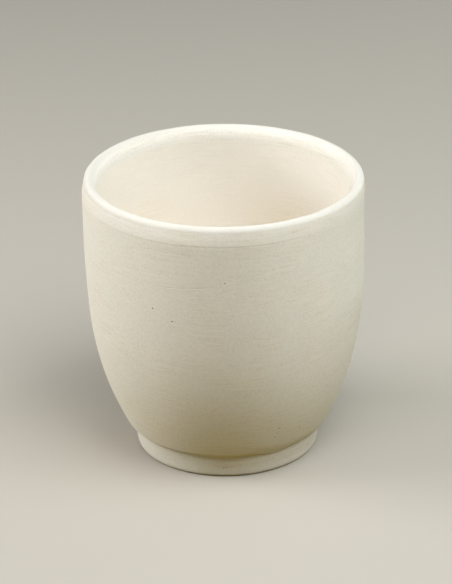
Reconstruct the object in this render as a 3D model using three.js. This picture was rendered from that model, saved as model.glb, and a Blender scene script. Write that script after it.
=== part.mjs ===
// A handleless mug of white fired clay, without glaze.
// The whole mug is one piece of clay turned about the Z axis: a foot ring with a recess under it,
// a crease, a full body that overhangs the foot and swells up to a turned line, and a rim band that
// leans in to a rounded lip.
// Millimetres, +Z up, origin at the centre of the circle that the foot stands on.

import {
  CubicBezierCurve,
  EllipseCurve,
  Group,
  LatheGeometry,
  MathUtils,
  Mesh,
  MeshStandardMaterial,
  Vector2,
} from "three";

// Foot ring
const footOuterRadius = 28.1; // outer edge of the flat that touches the table
const footInnerRadius = 24.6; // inner edge of the same flat
const footEdgeRound = 1.9; // worn round on both edges of the flat
const recessDepth = 5.2; // hollow under the floor
const recessDraft = 0.6; // how much narrower the recess is at its ceiling
const recessCornerRound = 1.4;

// Crease between the foot and the body, cut in under the body with the turning tool
const ledgeWidth = 2.0; // how far the body stands out over the top of the foot's side
const ledgeEdgeRound = 0.5; // along the lower edge of the body
const creaseRound = 0.9; // hollow round from the foot's side out to the ledge

// Body
const neckRadius = 33.3; // outside of the body at its lower edge
const neckHeight = 9.4; // table to the lower edge of the body
const neckSlope = 63; // degrees from level at which the body leaves its lower edge
const neckPull = 26.9; // length of the curve's lower handle
const shoulderRadius = 45.8; // widest place, at the turned line
const shoulderPull = 37.1; // length of the curve's upper handle
const wallThickness = 4.6;
const floorThickness = 6.5; // ceiling of the recess to the floor inside
const insideCornerRound = 16; // sweep from the floor up into the wall

// Rim
const rimHeight = 95; // table to the top of the lip
const rimBandHeight = 6.3; // turned line to the top of the lip
const turnedLineHeight = 0.6;
const turnedLineDepth = 0.1;
const lipInset = 0.7; // outside of the lip, in from the widest place
const lipOuterRound = 1.9;
const lipInnerSweep = 4.5; // how far the lip's round runs down the inside

// Fineness of the surface
const facetsAround = 72;
const bodySteps = 16;
const insideSteps = 13;
const insideCornerSteps = 7;
const lipSteps = 5;
const smallRoundSteps = 3;
const searchSteps = 40;

const quarterTurn = Math.PI / 2;

// Fired clay: pale cream, dull
const bisqueColour = 0xe6e0cf;
const bisqueRoughness = 0.92;

// Points along a round, as an arc from one angle to another about its centre
function round(centre, acrossRadius, upRadius, startAngle, endAngle, steps) {
  const clockwise = endAngle < startAngle;
  const arc = new EllipseCurve(centre.x, centre.y, acrossRadius, upRadius, startAngle, endAngle, clockwise);
  return arc.getPoints(steps);
}

// Angle at which a straight side that comes up from a point below a circle touches its right side
function touchAngle(centre, radius, point) {
  const toPoint = point.clone().sub(centre);
  return toPoint.angle() - 2 * Math.PI + Math.acos(radius / toPoint.length());
}

// Recess under the floor, from the axis out to the flat of the foot
function recessOutline() {
  const ceilingRadius = footInnerRadius - footEdgeRound - recessDraft;
  const corner = new Vector2(ceilingRadius - recessCornerRound, recessDepth - recessCornerRound);
  const edge = new Vector2(footInnerRadius, footEdgeRound);
  return [
    new Vector2(0, recessDepth),
    ...round(corner, recessCornerRound, recessCornerRound, quarterTurn, 0, smallRoundSteps),
    ...round(edge, footEdgeRound, footEdgeRound, Math.PI, 3 * quarterTurn, smallRoundSteps),
  ];
}

// Outside of the body, one curve from its lower edge to the turned line, where it stands upright
function bodyCurve() {
  const slope = MathUtils.degToRad(neckSlope);
  const neck = new Vector2(neckRadius, neckHeight);
  const neckHandle = new Vector2(Math.cos(slope), Math.sin(slope)).multiplyScalar(neckPull).add(neck);
  const shoulder = new Vector2(shoulderRadius, rimHeight - rimBandHeight);
  const shoulderHandle = new Vector2(shoulder.x, shoulder.y - shoulderPull);
  return new CubicBezierCurve(neck, neckHandle, shoulderHandle, shoulder);
}

// A point in the clay, a given depth behind its outer curve
function behindBody(outside, along, depth) {
  const tangent = outside.getTangent(along);
  const inwards = new Vector2(-tangent.y, tangent.x);
  return inwards.multiplyScalar(depth).add(outside.getPoint(along));
}

// Outside of the foot and the crease above it: the round on the foot's edge, the hollow round that
// the side runs into, and the rounded lower edge of the body. The side touches the first two rounds.
function footOutline(outside) {
  const edge = new Vector2(footOuterRadius, footEdgeRound);
  const ledgeEdge = behindBody(outside, 0, ledgeEdgeRound);
  const sideTop = neckRadius - ledgeWidth;
  const crease = new Vector2(sideTop + creaseRound, ledgeEdge.y - ledgeEdgeRound - creaseRound);
  const toCrease = crease.clone().sub(edge);
  const sideAngle = toCrease.angle() - Math.acos((footEdgeRound + creaseRound) / toCrease.length());
  const bodyAngle = MathUtils.degToRad(neckSlope) - quarterTurn;
  const bodyEdge = round(ledgeEdge, ledgeEdgeRound, ledgeEdgeRound, -quarterTurn, bodyAngle, smallRoundSteps);
  return [
    ...round(edge, footEdgeRound, footEdgeRound, -quarterTurn, sideAngle, smallRoundSteps),
    ...round(crease, creaseRound, creaseRound, Math.PI + sideAngle, quarterTurn, smallRoundSteps),
    ...bodyEdge.slice(0, -1),
  ];
}

// Turned line, the rim band that leans in above it, and the lip rolled over to the inner wall
function rimOutline() {
  const lineMiddle = new Vector2(shoulderRadius, rimHeight - rimBandHeight + turnedLineHeight / 2);
  const bandFoot = new Vector2(shoulderRadius, rimHeight - rimBandHeight + turnedLineHeight);
  const lipCentre = new Vector2(shoulderRadius - lipInset - lipOuterRound, rimHeight - lipOuterRound);
  const innerCentre = new Vector2(lipCentre.x, rimHeight - lipInnerSweep);
  const lipInnerRound = lipCentre.x - (shoulderRadius - wallThickness);
  const bandAngle = touchAngle(lipCentre, lipOuterRound, bandFoot);
  return [
    ...round(lineMiddle, turnedLineDepth, turnedLineHeight / 2, 3 * quarterTurn, quarterTurn, smallRoundSteps),
    ...round(lipCentre, lipOuterRound, lipOuterRound, bandAngle, quarterTurn, lipSteps),
    ...round(innerCentre, lipInnerRound, lipInnerSweep, quarterTurn, Math.PI, lipSteps).slice(1),
  ];
}

// Inside of the mug, from under the lip down the wall, round the corner and along the floor.
// The corner's centre is its own radius above the floor and the same radius from the inner wall.
function insideOutline(outside) {
  const floorHeight = recessDepth + floorThickness;
  const cornerHeight = floorHeight + insideCornerRound;
  let low = 0;
  let high = 1;
  for (let step = 0; step < searchSteps; step += 1) {
    const middle = (low + high) / 2;
    const reached = behindBody(outside, middle, wallThickness + insideCornerRound).y;
    if (reached < cornerHeight) {
      low = middle;
    } else {
      high = middle;
    }
  }
  const wallStart = high;
  const centre = behindBody(outside, wallStart, wallThickness + insideCornerRound);
  const wallEnd = behindBody(outside, wallStart, wallThickness);
  const wallAngle = wallEnd.clone().sub(centre).angle() - 2 * Math.PI;
  const wall = [];
  for (let step = 0; step < insideSteps; step += 1) {
    const along = MathUtils.lerp(1, wallStart, step / insideSteps);
    wall.push(behindBody(outside, along, wallThickness));
  }
  return [
    ...wall,
    ...round(centre, insideCornerRound, insideCornerRound, wallAngle, -quarterTurn, insideCornerSteps),
    new Vector2(0, floorHeight),
  ];
}

// The whole outline, from the axis under the foot, up the outside, over the lip and down the inside
function mugOutline() {
  const outside = bodyCurve();
  return [
    ...recessOutline(),
    ...footOutline(outside),
    ...outside.getPoints(bodySteps).slice(0, -1),
    ...rimOutline(),
    ...insideOutline(outside),
  ];
}

function mugMesh() {
  const geometry = new LatheGeometry(mugOutline(), facetsAround);
  geometry.rotateX(quarterTurn);
  const material = new MeshStandardMaterial({
    color: bisqueColour,
    roughness: bisqueRoughness,
    metalness: 0,
  });
  const mesh = new Mesh(geometry, material);
  mesh.name = "mug";
  return mesh;
}

const group = new Group();
group.add(mugMesh());

export default group;
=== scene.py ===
import math

import bmesh
import bpy
from mathutils import Matrix, Vector, geometry, noise
from mathutils.bvhtree import BVHTree


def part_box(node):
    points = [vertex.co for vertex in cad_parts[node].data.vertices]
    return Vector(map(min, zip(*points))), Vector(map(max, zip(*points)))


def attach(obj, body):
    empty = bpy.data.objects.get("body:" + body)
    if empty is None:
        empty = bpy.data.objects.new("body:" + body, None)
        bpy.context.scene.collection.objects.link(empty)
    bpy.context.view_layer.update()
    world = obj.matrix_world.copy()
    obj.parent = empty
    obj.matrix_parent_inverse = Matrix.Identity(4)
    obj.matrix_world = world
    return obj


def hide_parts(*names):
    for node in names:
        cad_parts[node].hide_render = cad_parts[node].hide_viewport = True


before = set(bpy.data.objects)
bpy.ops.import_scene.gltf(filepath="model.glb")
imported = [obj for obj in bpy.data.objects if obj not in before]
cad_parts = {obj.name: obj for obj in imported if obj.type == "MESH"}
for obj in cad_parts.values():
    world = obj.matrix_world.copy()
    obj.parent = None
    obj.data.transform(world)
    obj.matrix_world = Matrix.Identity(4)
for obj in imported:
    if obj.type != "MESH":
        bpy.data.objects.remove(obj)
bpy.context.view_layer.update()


# Clay mug
# One wall of white clay, thrown on a wheel, turned while leather-hard and fired once, without
# glaze: foot ring, belly, rim band and lip are the same piece. It is made here in the same way,
# one outline spun about the Z axis, and then given the unevenness that hands and tools leave.

mm = 0.001
_, mug_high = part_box("mug")

# Foot ring, with the recess under the floor
foot_outer_radius = 28.5 * mm
foot_inner_radius = 24.2 * mm
foot_edge_round = 1.5 * mm
recess_depth = 5.2 * mm
recess_draft = 0.6 * mm
recess_corner_round = 1.4 * mm

# Crease above the foot, where the turning tool has cut in under the belly
ledge_width = 2.0 * mm
ledge_edge_round = 0.5 * mm
crease_round = 0.9 * mm

# Belly
neck_radius = 33.3 * mm
neck_height = 9.4 * mm
neck_slope = 63
neck_pull = 26.9 * mm
shoulder_pull = 37.1 * mm
wall_thickness = 4.6 * mm
floor_thickness = 6.5 * mm
inside_corner_round = 16 * mm
skin_allowance = 0.06 * mm  # left between the clay and the CAD's box
shoulder_radius = mug_high.x - skin_allowance
foot_top_radius = neck_radius - ledge_width

# Rim band and lip
rim_height = mug_high.z
rim_band_height = 6.3 * mm
turned_line_height = 0.6 * mm
turned_line_depth = 0.01 * mm
band_bend_inset = 0.16 * mm
band_bend_height = 1.6 * mm
lip_inset = 0.58 * mm
lip_outer_round = 1.8 * mm
lip_inner_sweep = 4.5 * mm

# Fineness of the mesh
steps_around = 180
belly_rows = 140
corner_rows = 36
lip_rows = 14
small_round_rows = 6
widest_row = 1.2 * mm
merge_distance = 0.001 * mm


def outline_point(radius, height):
    """A point of the outline, which stands in the plane of the X and Z axes."""
    return Vector((radius, 0, height))


def round_stretch(centre, across, up, start, end, rows):
    """Points along a round about its centre, from one angle to another in degrees, 90 being upwards."""
    points = []
    for row in range(rows + 1):
        angle = math.radians(start + (end - start) * row / rows)
        points.append(centre + outline_point(across * math.cos(angle), up * math.sin(angle)))
    return points


def set_back(points, depth):
    """The same stretch, that much behind the surface. The stretch runs upwards on the outside."""
    moved = []
    for row, point in enumerate(points):
        below = points[max(row - 1, 0)]
        above = points[min(row + 1, len(points) - 1)]
        along = (above - below).normalized()
        inwards = Vector((-along.z, 0, along.x))
        moved.append(point + inwards * depth)
    return moved


def recess_outline():
    """Hollow under the floor, from the axis out to the flat of the foot."""
    ceiling_radius = foot_inner_radius - foot_edge_round - recess_draft
    corner = outline_point(ceiling_radius - recess_corner_round, recess_depth - recess_corner_round)
    edge = outline_point(foot_inner_radius, foot_edge_round)
    return [
        outline_point(0, recess_depth),
        *round_stretch(corner, recess_corner_round, recess_corner_round, 90, 0, small_round_rows),
        *round_stretch(edge, foot_edge_round, foot_edge_round, 180, 270, small_round_rows),
    ]


def belly_outline():
    """Outside of the belly, one curve from its lower edge up to the turned line."""
    slope = math.radians(neck_slope)
    neck = outline_point(neck_radius, neck_height)
    neck_handle = neck + outline_point(math.cos(slope), math.sin(slope)) * neck_pull
    shoulder = outline_point(shoulder_radius, rim_height - rim_band_height)
    shoulder_handle = shoulder - outline_point(0, shoulder_pull)
    return geometry.interpolate_bezier(neck, neck_handle, shoulder_handle, shoulder, belly_rows)


def foot_outline(belly):
    """Outside of the foot, the crease, and the ledge under the belly with its rounded edge."""
    edge = outline_point(foot_outer_radius, foot_edge_round)
    ledge_edge = set_back(belly, ledge_edge_round)[0]
    ledge_height = ledge_edge.z - ledge_edge_round
    crease = outline_point(foot_top_radius + crease_round, ledge_height - crease_round)
    to_crease = crease - edge
    spread = math.acos((foot_edge_round + crease_round) / to_crease.length)
    side = math.degrees(math.atan2(to_crease.z, to_crease.x) - spread)
    edge_round = round_stretch(
        ledge_edge, ledge_edge_round, ledge_edge_round, -90, neck_slope - 90, small_round_rows
    )
    return [
        *round_stretch(edge, foot_edge_round, foot_edge_round, -90, side, small_round_rows),
        *round_stretch(crease, crease_round, crease_round, 180 + side, 90, small_round_rows),
        *edge_round[:-1],
    ]


def rim_outline():
    """The turned line, the band that leans in above it, and the lip rolled over to the inside."""
    line_bottom = rim_height - rim_band_height
    turned_line = []
    for row in range(1, small_round_rows):
        share = row / small_round_rows
        depth = turned_line_depth * (1 - math.cos(2 * math.pi * share)) / 2
        height = line_bottom + turned_line_height * share
        turned_line.append(outline_point(shoulder_radius - depth, height))
    band_foot = outline_point(shoulder_radius, line_bottom + turned_line_height)
    lip = outline_point(shoulder_radius - lip_inset - lip_outer_round, rim_height - lip_outer_round)
    inner = outline_point(lip.x, rim_height - lip_inner_sweep)
    lip_inner_round = lip.x - (shoulder_radius - wall_thickness)
    band_bend = band_foot + outline_point(-band_bend_inset, band_bend_height)
    to_bend = band_bend - lip
    spread = math.degrees(math.acos(lip_outer_round / to_bend.length))
    band_angle = math.degrees(math.atan2(to_bend.z, to_bend.x)) + spread
    lip_outside = round_stretch(lip, lip_outer_round, lip_outer_round, band_angle, 90, lip_rows)
    band = geometry.interpolate_bezier(band_foot, band_bend, band_bend, lip_outside[0], lip_rows)
    return [
        *turned_line,
        *band[:-1],
        *lip_outside,
        *round_stretch(inner, lip_inner_round, lip_inner_sweep, 90, 180, lip_rows)[1:],
    ]


def inside_outline(belly):
    """Inside of the wall, the sweep round into the floor, and the floor to the axis."""
    wall = set_back(belly, wall_thickness)
    centres = set_back(belly, wall_thickness + inside_corner_round)
    centre_height = recess_depth + floor_thickness + inside_corner_round
    row = next(row for row, centre in enumerate(centres) if centre.z >= centre_height)
    share = (centre_height - centres[row - 1].z) / (centres[row].z - centres[row - 1].z)
    centre = centres[row - 1].lerp(centres[row], share)
    wall_end = wall[row - 1].lerp(wall[row], share) - centre
    wall_angle = math.degrees(math.atan2(wall_end.z, wall_end.x))
    corner = round_stretch(centre, inside_corner_round, inside_corner_round, wall_angle, -90, corner_rows)
    return [
        *reversed(wall[row:]),
        *corner,
        outline_point(0, centre_height - inside_corner_round),
    ]


def spun_mug():
    """The whole outline spun about the Z axis. The mark says how far inside the mug a point is."""
    belly = belly_outline()
    outside = [*recess_outline(), *foot_outline(belly), *belly, *rim_outline()]
    inside = inside_outline(belly)
    made = bmesh.new()
    inside_mark = made.verts.layers.float.new("inside")
    made.verts.layers.float.new("pit")
    # This layer carries the painted shade of the crease above the foot.
    made.verts.layers.float.new("crease")
    previous = None
    for place in outside + inside:
        vert = made.verts.new(place)
        vert[inside_mark] = 1.0 if len(made.verts) > len(outside) else 0.0
        if previous:
            made.edges.new((previous, vert))
        previous = vert
    for edge in list(made.edges):
        cuts = int(edge.calc_length() / widest_row)
        if cuts:
            bmesh.ops.subdivide_edges(made, edges=[edge], cuts=cuts)
    bmesh.ops.spin(
        made,
        geom=made.verts[:] + made.edges[:],
        cent=(0, 0, 0),
        axis=(0, 0, 1),
        angle=2 * math.pi,
        steps=steps_around,
        use_merge=True,
    )
    bmesh.ops.remove_doubles(made, verts=made.verts[:], dist=merge_distance)
    bmesh.ops.recalc_face_normals(made, faces=made.faces[:])
    return made


# Unevenness that the hand leaves. Bearings are in degrees about the Z axis, -90 being the front.
rim_tilt_right = 0.34 * mm
rim_tilt_back = 0.40 * mm
foot_bend_start = 2.5 * mm
foot_bend_full = neck_height - 1.2 * mm
edge_reach = 9.0 * mm
soft_edge_depth = 1.1 * mm
soft_edge_height = 4.2 * mm
soft_edge_bearing = -42
soft_edge_spread = 45
# Painted shade in the crease above the foot: the heights where it begins and is full, the bearing and
# spread where it is darkest, and its strength at the front and along the softened lower edge of the
# belly.
crease_low = neck_height - 1.6 * mm
crease_high = neck_height - 1.0 * mm
deep_crease_bearing = -132
deep_crease_spread = 35
front_crease_painted_shade = 0.35
soft_edge_painted_shade = 0.5
dab_size = 12 * mm
dab_depth = 0.05 * mm
lip_wave_size = 5 * mm
lip_wave_depth = 0.07 * mm
lip_wave_start = 92 * mm

# How much higher up the belly's slope its lower edge lies, from bearing to bearing
edge_rise = (
    (-180, 0.6 * mm),
    (-118, 0.6 * mm),
    (-98, 1.1 * mm),
    (-80, 1.1 * mm),
    (-56, -1.7 * mm),
    (-30, -1.55 * mm),
    (10, 0.0),
    (180, 0.6 * mm),
)

# The same for the top of the foot's side
foot_top_rise = (
    (-180, 0.0),
    (-118, -0.3 * mm),
    (-91, -1.5 * mm),
    (-75, -1.15 * mm),
    (-30, -1.0 * mm),
    (10, 0.0),
    (180, 0.0),
)

# Places where the wall stands out or in: bearing, spread in degrees, height, reach and how far
bulges = (
    (-20, 90, 95.0 * mm, 6.3 * mm, 0.48 * mm),
    (0, 60, 81.0 * mm, 10 * mm, -0.20 * mm),
    (0, 70, 56.0 * mm, 14 * mm, 0.28 * mm),
    (180, 70, 56.0 * mm, 14 * mm, -0.15 * mm),
)

# Lines of the wheel: their pitch, and how deep they are outside and inside
wheel_lines = (
    (1.9 * mm, 0.002 * mm, 0.004 * mm),
    (4.3 * mm, 0.004 * mm, 0.010 * mm),
    (7.9 * mm, 0.010 * mm, 0.018 * mm),
)

# Pinholes and nicks: bearing, height, half width and depth
pinholes = (
    (-90.2, 76.4 * mm, 0.36 * mm, 0.30 * mm),
    (-120.2, 65.5 * mm, 0.44 * mm, 0.28 * mm),
    (-111.8, 62.1 * mm, 0.38 * mm, 0.30 * mm),
    (-43.6, 58.1 * mm, 0.24 * mm, 0.12 * mm),
    (-29.7, 36.7 * mm, 0.32 * mm, 0.20 * mm),
    (-63.9, 19.6 * mm, 0.43 * mm, 0.28 * mm),
    (-51.1, 17.1 * mm, 0.40 * mm, 0.24 * mm),
    (-64.9, 17.6 * mm, 0.36 * mm, 0.20 * mm),
    (-65.5, 15.9 * mm, 0.34 * mm, 0.20 * mm),
    (-144.3, 15.9 * mm, 0.26 * mm, 0.14 * mm),
    (-143.0, 15.4 * mm, 0.26 * mm, 0.14 * mm),
    (-141.7, 15.0 * mm, 0.24 * mm, 0.12 * mm),
    (-92.9, 3.7 * mm, 0.34 * mm, 0.16 * mm),
    (-91.4, 3.8 * mm, 0.26 * mm, 0.10 * mm),
    (64.4, 94.4 * mm, 0.50 * mm, 0.35 * mm),
)


# Where the mesh round a pinhole is cut finer: reach in half widths, and cuts across each face
finer_rings = ((5, 3), (3, 2))


def rise(value, low, high):
    """0 up to low, 1 from high on, and a soft rise between them."""
    share = min(max((value - low) / (high - low), 0), 1)
    return share * share * (3 - 2 * share)


def swell(bearing, middle, spread):
    """1 at the middle bearing, falling softly to 0 that many degrees to either side of it."""
    off = abs((bearing - middle + 180) % 360 - 180)
    return 1 - rise(off, 0, spread)


def shift_at(table, bearing):
    """The shift at a bearing, blended softly between the two bearings of the table beside it."""
    for (start, first), (end, last) in zip(table, table[1:]):
        if start <= bearing <= end:
            return first + (last - first) * rise(bearing, start, end)


def shape_by_hand(made):
    """Moves the turned clay a little, as throwing, turning and firing did."""
    made.normal_update()
    inside_mark = made.verts.layers.float["inside"]
    crease_shade_mark = made.verts.layers.float["crease"]
    shrink = 1 - (math.hypot(rim_tilt_right, rim_tilt_back) + skin_allowance) / rim_height
    for vert in made.verts:
        place = vert.co.copy()
        radius = math.hypot(place.x, place.y)
        bearing = math.degrees(math.atan2(place.y, place.x))
        outwards = Vector((place.x, place.y, 0)).normalized()
        inside = vert[inside_mark]
        depth = dab_depth * noise.noise(place / dab_size)
        along = place.z + radius
        for pitch, depth_outside, depth_inside in wheel_lines:
            line_depth = depth_inside if inside else depth_outside
            turns = along / pitch + bearing / 360
            strength = 0.5 + noise.noise(place / (4 * pitch))
            depth += line_depth * strength * (1 + math.sin(2 * math.pi * turns)) / 2
        on_lip = rise(place.z, lip_wave_start, rim_height)
        depth += lip_wave_depth * on_lip * (0.5 + noise.noise(place / lip_wave_size))
        if radius > foot_outer_radius and not inside and place.z < neck_height + edge_reach:
            up_from_edge = max(place.z - neck_height, 0)
            out_on_ledge = rise(radius, foot_top_radius, neck_radius)
            share = min(max((radius - foot_top_radius) / ledge_width, 0), 1)
            softness = share * max(1 - up_from_edge / soft_edge_height, 0) ** 2
            softness *= swell(bearing, soft_edge_bearing, soft_edge_spread)
            vert.co -= outwards * softness * soft_edge_depth
            foot_shift = shift_at(foot_top_rise, bearing) * rise(place.z, foot_bend_start, foot_bend_full)
            edge_shift = shift_at(edge_rise, bearing) * (1 - rise(up_from_edge, 0, edge_reach))
            vert.co.z += foot_shift * (1 - share) + edge_shift * share
            vert.co += outwards * edge_shift * share / math.tan(math.radians(neck_slope))
            # The crease mark is painted shade: full in the crease about the deep bearing, weaker at the
            # front and on the softened lower edge of the belly.
            in_crease = rise(place.z, crease_low, crease_high) * (1 - out_on_ledge)
            deep = swell(bearing, deep_crease_bearing, deep_crease_spread)
            shallow_painted_shade = front_crease_painted_shade * in_crease + soft_edge_painted_shade * softness
            vert[crease_shade_mark] = shallow_painted_shade + (1 - front_crease_painted_shade) * in_crease * deep
        for middle, spread, height, reach, amount in bulges:
            near = 1 - rise(abs(place.z - height), 0, reach)
            vert.co += outwards * amount * near * swell(bearing, middle, spread)
        if place.z > 0:
            vert.co -= vert.normal * depth
        lowered = rim_tilt_right * outwards.x + rim_tilt_back * outwards.y
        vert.co.z -= lowered * (place.z / rim_height) ** 3
        vert.co *= shrink


def prick(made):
    """The pinholes and nicks. The faces round them are cut finer, then pushed in as small bowls."""
    surface = BVHTree.FromBMesh(made)
    bowls = []
    for bearing, height, half_width, depth in pinholes:
        outwards = Vector((math.cos(math.radians(bearing)), math.sin(math.radians(bearing)), 0))
        start = outwards * 2 * shoulder_radius + Vector((0, 0, height))
        centre, normal, _, _ = surface.ray_cast(start, -outwards)
        bowls.append((centre, normal, half_width, depth))
    for reach, cuts in finer_rings:
        made.faces.ensure_lookup_table()
        surface = BVHTree.FromBMesh(made)
        edges = {}
        for centre, _, half_width, _ in bowls:
            for _, _, row, _ in surface.find_nearest_range(centre, reach * half_width):
                edges.update(dict.fromkeys(made.faces[row].edges))
        cut = bmesh.ops.subdivide_edges(made, edges=list(edges), cuts=cuts, use_grid_fill=True)
    # The pit mark carries painted shade into the bowls.
    pit_mark = made.verts.layers.float["pit"]
    fine_verts = [part for part in cut["geom"] if isinstance(part, bmesh.types.BMVert)]
    for centre, normal, half_width, depth in bowls:
        for vert in fine_verts:
            off = (vert.co - centre).length / half_width
            bowl = max(1 - off * off, 0) ** 2
            vert.co -= normal * depth * bowl
            vert[pit_mark] = max(vert[pit_mark], bowl)


clay = spun_mug()
shape_by_hand(clay)
prick(clay)
bmesh.ops.recalc_face_normals(clay, faces=clay.faces[:])
mug_mesh = bpy.data.meshes.new("mug_clay")
clay.to_mesh(mug_mesh)
clay.free()
for face in mug_mesh.polygons:
    face.use_smooth = True
mug = bpy.data.objects.new("mug_clay", mug_mesh)
bpy.context.scene.collection.objects.link(mug)


class Channel:
    """A socket in a material. Arithmetic on channels adds the Math nodes that work it out."""

    def __init__(self, tree, socket=None):
        self.tree = tree
        self.socket = socket

    def add(self, kind, settings=None, inputs=None, output=0):
        """A node of any type. Its settings are set first, then the values or links of its sockets."""
        node = self.tree.nodes.new(kind)
        for name, value in (settings or {}).items():
            setattr(node, name, value)
        for name, value in (inputs or {}).items():
            if isinstance(value, Channel):
                self.tree.links.new(value.socket, node.inputs[name])
            else:
                node.inputs[name].default_value = value
        return Channel(self.tree, node.outputs[output] if node.outputs else None)

    def maths(self, operation, *values):
        return self.add("ShaderNodeMath", {"operation": operation}, dict(enumerate(values)))

    def __add__(self, other):
        return self.maths("ADD", self, other)

    def __sub__(self, other):
        return self.maths("SUBTRACT", self, other)

    def __rsub__(self, other):
        return self.maths("SUBTRACT", other, self)

    def __mul__(self, other):
        return self.maths("MULTIPLY", self, other)

    __radd__ = __add__
    __rmul__ = __mul__


clay_colour = (0.865, 0.852, 0.785, 1)
clay_warm_colour = (0.875, 0.847, 0.765, 1)
clay_inside_colour = (0.898, 0.856, 0.772, 1)
# The colour that dust darkens the clay towards; the painted shade in the crease darkens towards it too.
clay_dust_and_shade_colour = (0.48, 0.43, 0.34, 1)
clay_blush_colour = (0.90, 0.76, 0.55, 1)
# The lip is painted darker and a little cooler than the clay, as painted shade that holds down the light
# it takes from above.
clay_lip_shaded_colour = (0.75, 0.735, 0.675, 1)
# Painted shade in the pinholes and nicks.
pinhole_shade_colour = (0.22, 0.16, 0.10, 1)
clay_roughness = 0.88
clay_specular = 0.3
lip_roughness = 0.72
# Heights over which the painted shade on the lip comes in.
lip_tone_start = 92.6 * mm
lip_tone_full = 94.2 * mm
blotch_size = 14 * mm
mottle_size = 0.6 * mm
grain_size = 0.4 * mm
grain_depth = 0.022 * mm
tooth_size = 1.7 * mm
tooth_depth = 0.05 * mm
fine_line_pitch = 0.62 * mm
fine_line_length = 9 * mm
fine_line_depth_outside = 0.016 * mm
fine_line_depth_inside = 0.034 * mm
even_dust = 0.06
mottle_outside = 0.75
mottle_inside = 0.24
fine_line_dust = 0.72
# How dark the painted shade in the crease is.
crease_painted_shade = 0.75
lip_wipe = 0.7
# Depth at which a scored line is coloured fully dark.
full_line_darkening_depth = 0.4 * mm
inside_line_fade = 0.5
inside_tooth_fade = 0.6

# Lines scored by a grain caught under the tool: bearing and height of both ends, half width, depth
scored_line_end = 4
scored_lines = (
    (-140.0, 88.6 * mm, -52.0, 88.7 * mm, 0.50 * mm, 0.016 * mm),
    (-125.0, 85.8 * mm, -102.0, 85.7 * mm, 0.22 * mm, 0.030 * mm),
    (-122.0, 73.3 * mm, -96.0, 75.0 * mm, 0.24 * mm, 0.035 * mm),
    (-121.0, 74.4 * mm, -98.0, 76.0 * mm, 0.20 * mm, 0.018 * mm),
    (-86.0, 84.2 * mm, -68.0, 84.3 * mm, 0.22 * mm, 0.022 * mm),
    (-84.0, 56.9 * mm, -67.0, 55.2 * mm, 0.26 * mm, 0.022 * mm),
    (-102.0, 69.8 * mm, -94.0, 78.0 * mm, 0.40 * mm, 0.018 * mm),
    (-148.0, 16.6 * mm, -139.0, 14.8 * mm, 0.24 * mm, 0.050 * mm),
    (118.0, 87.6 * mm, 131.0, 89.6 * mm, 0.30 * mm, 0.040 * mm),
)

# Faint warm blushes on the inner wall: bearing, its spread, height, its reach and strength
blushes = (
    (56, 34, 60 * mm, 17 * mm, 0.38),
    (131, 26, 65 * mm, 12 * mm, 0.14),
)


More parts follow.
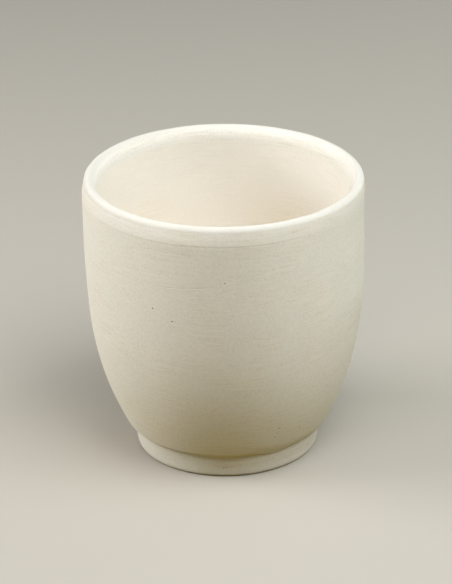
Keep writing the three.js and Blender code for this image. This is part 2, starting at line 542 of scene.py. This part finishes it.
def clay_material():
    """White fired clay: dull and chalky, with a fine tooth and the faint lines of the wheel, and painted
    shade in the crease, in the pinholes and on the lip.
    """
    material = bpy.data.materials.new("fired_clay")
    material.use_nodes = True
    tree = material.node_tree
    tree.nodes.clear()
    start = Channel(tree)
    place = start.add("ShaderNodeTexCoord", output="Object")
    inside = start.add("ShaderNodeAttribute", {"attribute_name": "inside"}, output="Fac")
    pit = start.add("ShaderNodeAttribute", {"attribute_name": "pit"}, output="Fac")
    # The crease attribute is painted shade in the crease above the foot.
    crease = start.add("ShaderNodeAttribute", {"attribute_name": "crease"}, output="Fac")
    x, y, z = (start.add("ShaderNodeSeparateXYZ", inputs={0: place}, output=axis) for axis in "XYZ")
    level = start.add("ShaderNodeCombineXYZ", inputs={"X": x, "Y": y})
    radius = start.add("ShaderNodeVectorMath", {"operation": "LENGTH"}, {0: level}, "Value")
    bearing = start.maths("ARCTAN2", y, x) * math.degrees(1)

    def cloud(size, detail=2.0, roughness=0.5, vector=place):
        """Soft noise from 0 to 1 whose blots are that size."""
        return start.add(
            "ShaderNodeTexNoise",
            inputs={"Vector": vector, "Scale": 1 / size, "Detail": detail, "Roughness": roughness},
        )

    def step_between(value, low, high):
        return start.add(
            "ShaderNodeMapRange",
            {"interpolation_type": "SMOOTHSTEP"},
            {"Value": value, "From Min": low, "From Max": high},
        )

    def near(value, middle, reach):
        """1 at the middle, falling to 0 that far to either side of it."""
        return 1 - step_between(start.maths("ABSOLUTE", value - middle), 0.0, reach)

    def blend(share, first, second):
        return start.add(
            "ShaderNodeMix",
            {"data_type": "RGBA"},
            {"Factor": share, 6: first, 7: second},
            output=2,
        )

    def scored(first_bearing, first_height, last_bearing, last_height, half_width):
        """1 along the middle of a scored line, falling to 0 at its sides and ends."""
        climb = (last_height - first_height) / (last_bearing - first_bearing)
        middle = (bearing - first_bearing) * climb + first_height
        begun = step_between(bearing, first_bearing, first_bearing + scored_line_end)
        over = step_between(bearing, last_bearing - scored_line_end, last_bearing)
        return near(z - middle, 0.0, half_width) * begun * (1 - over)

    fine_line_place = start.add(
        "ShaderNodeCombineXYZ",
        inputs={
            "X": x * (1 / fine_line_length),
            "Y": y * (1 / fine_line_length),
            "Z": (z + radius) * (1 / fine_line_pitch),
        },
    )
    fine_lines = cloud(1, 2.0, 0.6, fine_line_place)
    on_band = near(z, rim_height - rim_band_height / 2, rim_band_height / 2)
    patches = start.maths("MAXIMUM", step_between(cloud(blotch_size), 0.35, 0.65), on_band)
    mottle = cloud(mottle_size, 3.0, 0.6) - 0.5

    colour = blend(step_between(cloud(blotch_size), 0.3, 0.7), clay_colour, clay_warm_colour)
    colour = blend(inside, colour, clay_inside_colour)
    for middle, spread, height, reach, strength in blushes:
        blush = near(bearing, middle, spread) * near(z, height, reach) * inside * strength
        colour = blend(blush, colour, clay_blush_colour)
    # Painted shade on the lip; the same mask also smooths the mottle there.
    lip_shade_and_wipe = step_between(z, lip_tone_start, lip_tone_full)
    colour = blend(lip_shade_and_wipe, colour, clay_lip_shaded_colour)
    mottling = mottle_outside - inside * (mottle_outside - mottle_inside)
    # Painted shade in the crease is added here to the dust of the mottle, the fine lines, the scored
    # lines and the even dust.
    dust_and_painted_shade = crease * crease_painted_shade + mottle * mottling * (1 - lip_shade_and_wipe * lip_wipe)
    dust_and_painted_shade += (fine_lines - 0.5) * patches * (1 - inside * inside_line_fade) * fine_line_dust + even_dust

    relief = cloud(grain_size, 3.0, 0.6) * grain_depth
    relief += cloud(tooth_size) * (1 - inside * inside_tooth_fade) * tooth_depth
    line_depth = fine_line_depth_outside + inside * (fine_line_depth_inside - fine_line_depth_outside)
    relief += fine_lines * patches * line_depth
    # Each scored line is cut into the bump and coloured darker the deeper it is.
    for *ends, half_width, depth in scored_lines:
        line = scored(*ends, half_width)
        relief -= line * depth
        dust_and_painted_shade += line * (depth / full_line_darkening_depth)
    # The clay darkens towards the dust colour by the dust and the painted shade together.
    colour = blend(start.maths("MAXIMUM", dust_and_painted_shade, 0.0), colour, clay_dust_and_shade_colour)
    # The pinholes are painted dark, as painted shade in their hollows.
    colour = blend(pit, colour, pinhole_shade_colour)
    surface = start.add("ShaderNodeBump", inputs={"Strength": 1.0, "Distance": 1.0, "Height": relief})
    on_lip = step_between(z, rim_height - rim_band_height, rim_height)
    shader = start.add(
        "ShaderNodeBsdfPrincipled",
        inputs={
            "Base Color": colour,
            "Roughness": clay_roughness - on_lip * (clay_roughness - lip_roughness),
            "Specular IOR Level": clay_specular,
            "Normal": surface,
        },
    )
    start.add("ShaderNodeOutputMaterial", inputs={"Surface": shader})
    return material


mug_mesh.materials.append(clay_material())
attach(mug, "root")
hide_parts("mug")


# Table
# The plain surface that the mug stands on. The camera sees it pale, while the light that it
# throws back at the clay is that of the dim olive cloth in the photograph.

table_size = 1.5
table_seen = (0.50, 0.475, 0.42, 1)
table_cast = (0.215, 0.160, 0.045, 1)

table = bmesh.new()
bmesh.ops.create_grid(table, x_segments=1, y_segments=1, size=table_size / 2)
table_mesh = bpy.data.meshes.new("table")
table.to_mesh(table_mesh)
table.free()
table_top = bpy.data.objects.new("table", table_mesh)
bpy.context.scene.collection.objects.link(table_top)


def seen_or_cast(start, seen, cast):
    """One shader for what the camera, a gloss or a glass sees, another for the light it casts."""
    rays = start.tree.nodes.new("ShaderNodeLightPath")
    looked_at = start.maths(
        "MAXIMUM",
        Channel(start.tree, rays.outputs["Is Camera Ray"]),
        start.maths(
            "MAXIMUM",
            Channel(start.tree, rays.outputs["Is Glossy Ray"]),
            Channel(start.tree, rays.outputs["Is Transmission Ray"]),
        ),
    )
    return start.add("ShaderNodeMixShader", inputs={0: looked_at, 1: cast, 2: seen})


def table_material():
    material = bpy.data.materials.new("table")
    material.use_nodes = True
    tree = material.node_tree
    tree.nodes.clear()
    start = Channel(tree)
    seen = start.add("ShaderNodeBsdfDiffuse", inputs={"Color": table_seen})
    cast = start.add("ShaderNodeBsdfDiffuse", inputs={"Color": table_cast})
    start.add("ShaderNodeOutputMaterial", inputs={"Surface": seen_or_cast(start, seen, cast)})
    return material


table_mesh.materials.append(table_material())


# Light
# Soft boxes round the table, as in a small product studio: two wide ones high in front, lower
# ones at the sides, and a world that adds a trace.

world_fill = 0.01
world_colour = (1.0, 0.98, 0.94, 1)
background_seen = (0.62, 0.59, 0.53, 1)

# Each box: its name, its bearing and height in degrees, its side, its power and its colour
soft_boxes = (
    ("left_box", 180, 28, 0.5, 4.55, (0.99, 0.97, 1.01)),
    ("left_low_box", 182, 10, 0.5, 2.3, (1.0, 1.03, 0.95)),
    ("right_box", 0, 20, 0.6, 1.95, (0.95, 1.03, 1.02)),
    ("right_back_box", 50, 18, 0.6, 1.1, (0.95, 1.01, 1.04)),
    ("front_right_box", 315, 55, 0.7, 5.75, (0.98, 1.0, 1.02)),
    ("front_high_box", 270, 65, 0.7, 3.9, (1.04, 1.01, 0.95)),
)
box_distance = 0.9
lit_place = Vector((0, 0, 50 * mm))

for name, bearing, height, side, power, tint in soft_boxes:
    lamp = bpy.data.lights.new(name, "AREA")
    lamp.shape = "SQUARE"
    lamp.size = side
    lamp.energy = power
    lamp.color = tint
    box = bpy.data.objects.new(name, lamp)
    level = math.cos(math.radians(height))
    towards = Vector(
        (
            level * math.cos(math.radians(bearing)),
            level * math.sin(math.radians(bearing)),
            math.sin(math.radians(height)),
        )
    )
    box.location = lit_place + towards * box_distance
    box.rotation_mode = "QUATERNION"
    box.rotation_quaternion = towards.to_track_quat("Z", "Y")
    bpy.context.scene.collection.objects.link(box)

world = bpy.data.worlds.new("studio")
bpy.context.scene.world = world
world.use_nodes = True
world.node_tree.nodes.clear()
sky = Channel(world.node_tree)
sky_seen = sky.add("ShaderNodeBackground", inputs={"Color": background_seen, "Strength": 1.0})
sky_cast = sky.add("ShaderNodeBackground", inputs={"Color": world_colour, "Strength": world_fill})
sky.add("ShaderNodeOutputWorld", inputs={"Surface": seen_or_cast(sky, sky_seen, sky_cast)})


# Camera
# It stands where the photographer's did: in front of the mug, some 25 degrees above it and tipped
# by a degree, with a long lens.

picture_height = 584
focal_pixels = 3200
sensor_side = 36
camera_distance = 1043.75 * mm
camera_elevation = math.radians(25.11)
camera_tip = math.radians(1.05)
looked_at_place = Vector((0.26 * mm, 0, 52.48 * mm))

lens = bpy.data.cameras.new("camera")
lens.sensor_width = sensor_side
lens.lens = sensor_side * focal_pixels / picture_height
camera = bpy.data.objects.new("camera", lens)
bpy.context.scene.collection.objects.link(camera)
bpy.context.scene.camera = camera
forwards = Vector((0, math.cos(camera_elevation), -math.sin(camera_elevation)))
across = Vector((1, 0, 0))
upwards = across.cross(forwards)
tipped_across = across * math.cos(camera_tip) - upwards * math.sin(camera_tip)
tipped_upwards = tipped_across.cross(forwards)
facing = Matrix((tipped_across, tipped_upwards, -forwards)).transposed()
camera.matrix_world = Matrix.Translation(looked_at_place - forwards * camera_distance) @ facing.to_4x4()

bpy.context.scene.view_settings.view_transform = "Standard"
